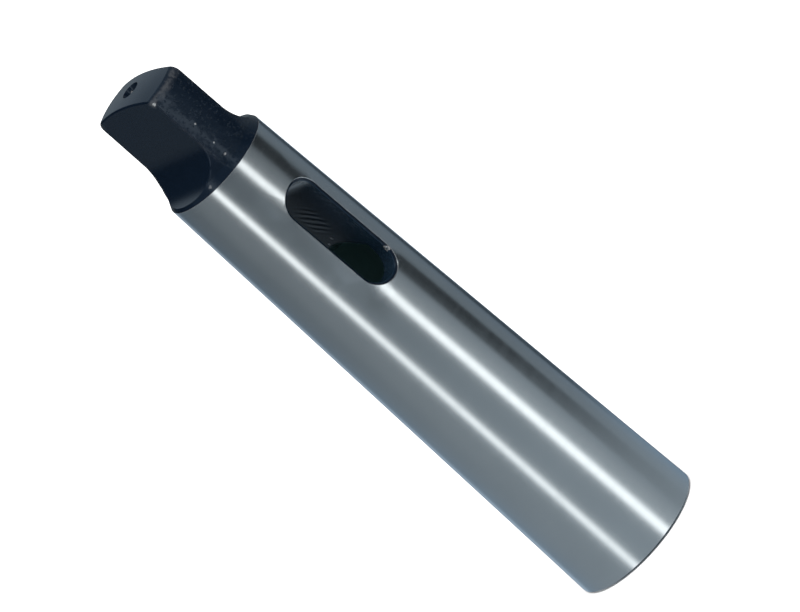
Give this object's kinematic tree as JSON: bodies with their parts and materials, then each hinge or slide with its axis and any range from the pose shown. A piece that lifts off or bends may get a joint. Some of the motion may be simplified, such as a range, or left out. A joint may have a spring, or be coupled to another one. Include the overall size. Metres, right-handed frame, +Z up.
{
  "type": "morse taper sleeve",
  "caption": "Tapered reducing sleeve with a flat-sided driving tang, a drift slot through its side and a tapered socket in the open end.",
  "frame": {"origin": "centre of the mouth face, on the sleeve's axis", "axes": "+Z up the axis from the mouth to the tang; the drift slot passes through along Y; the tang's flats face +X and -X"},
  "size_m": [0.0247, 0.0248, 0.112],
  "materials": {
    "steel": "ground cone with black oxide on the tang, neck and slot"
  },
  "bodies": {
    "root": {"taper_sleeve": "steel"}
  },
  "joints": []
}
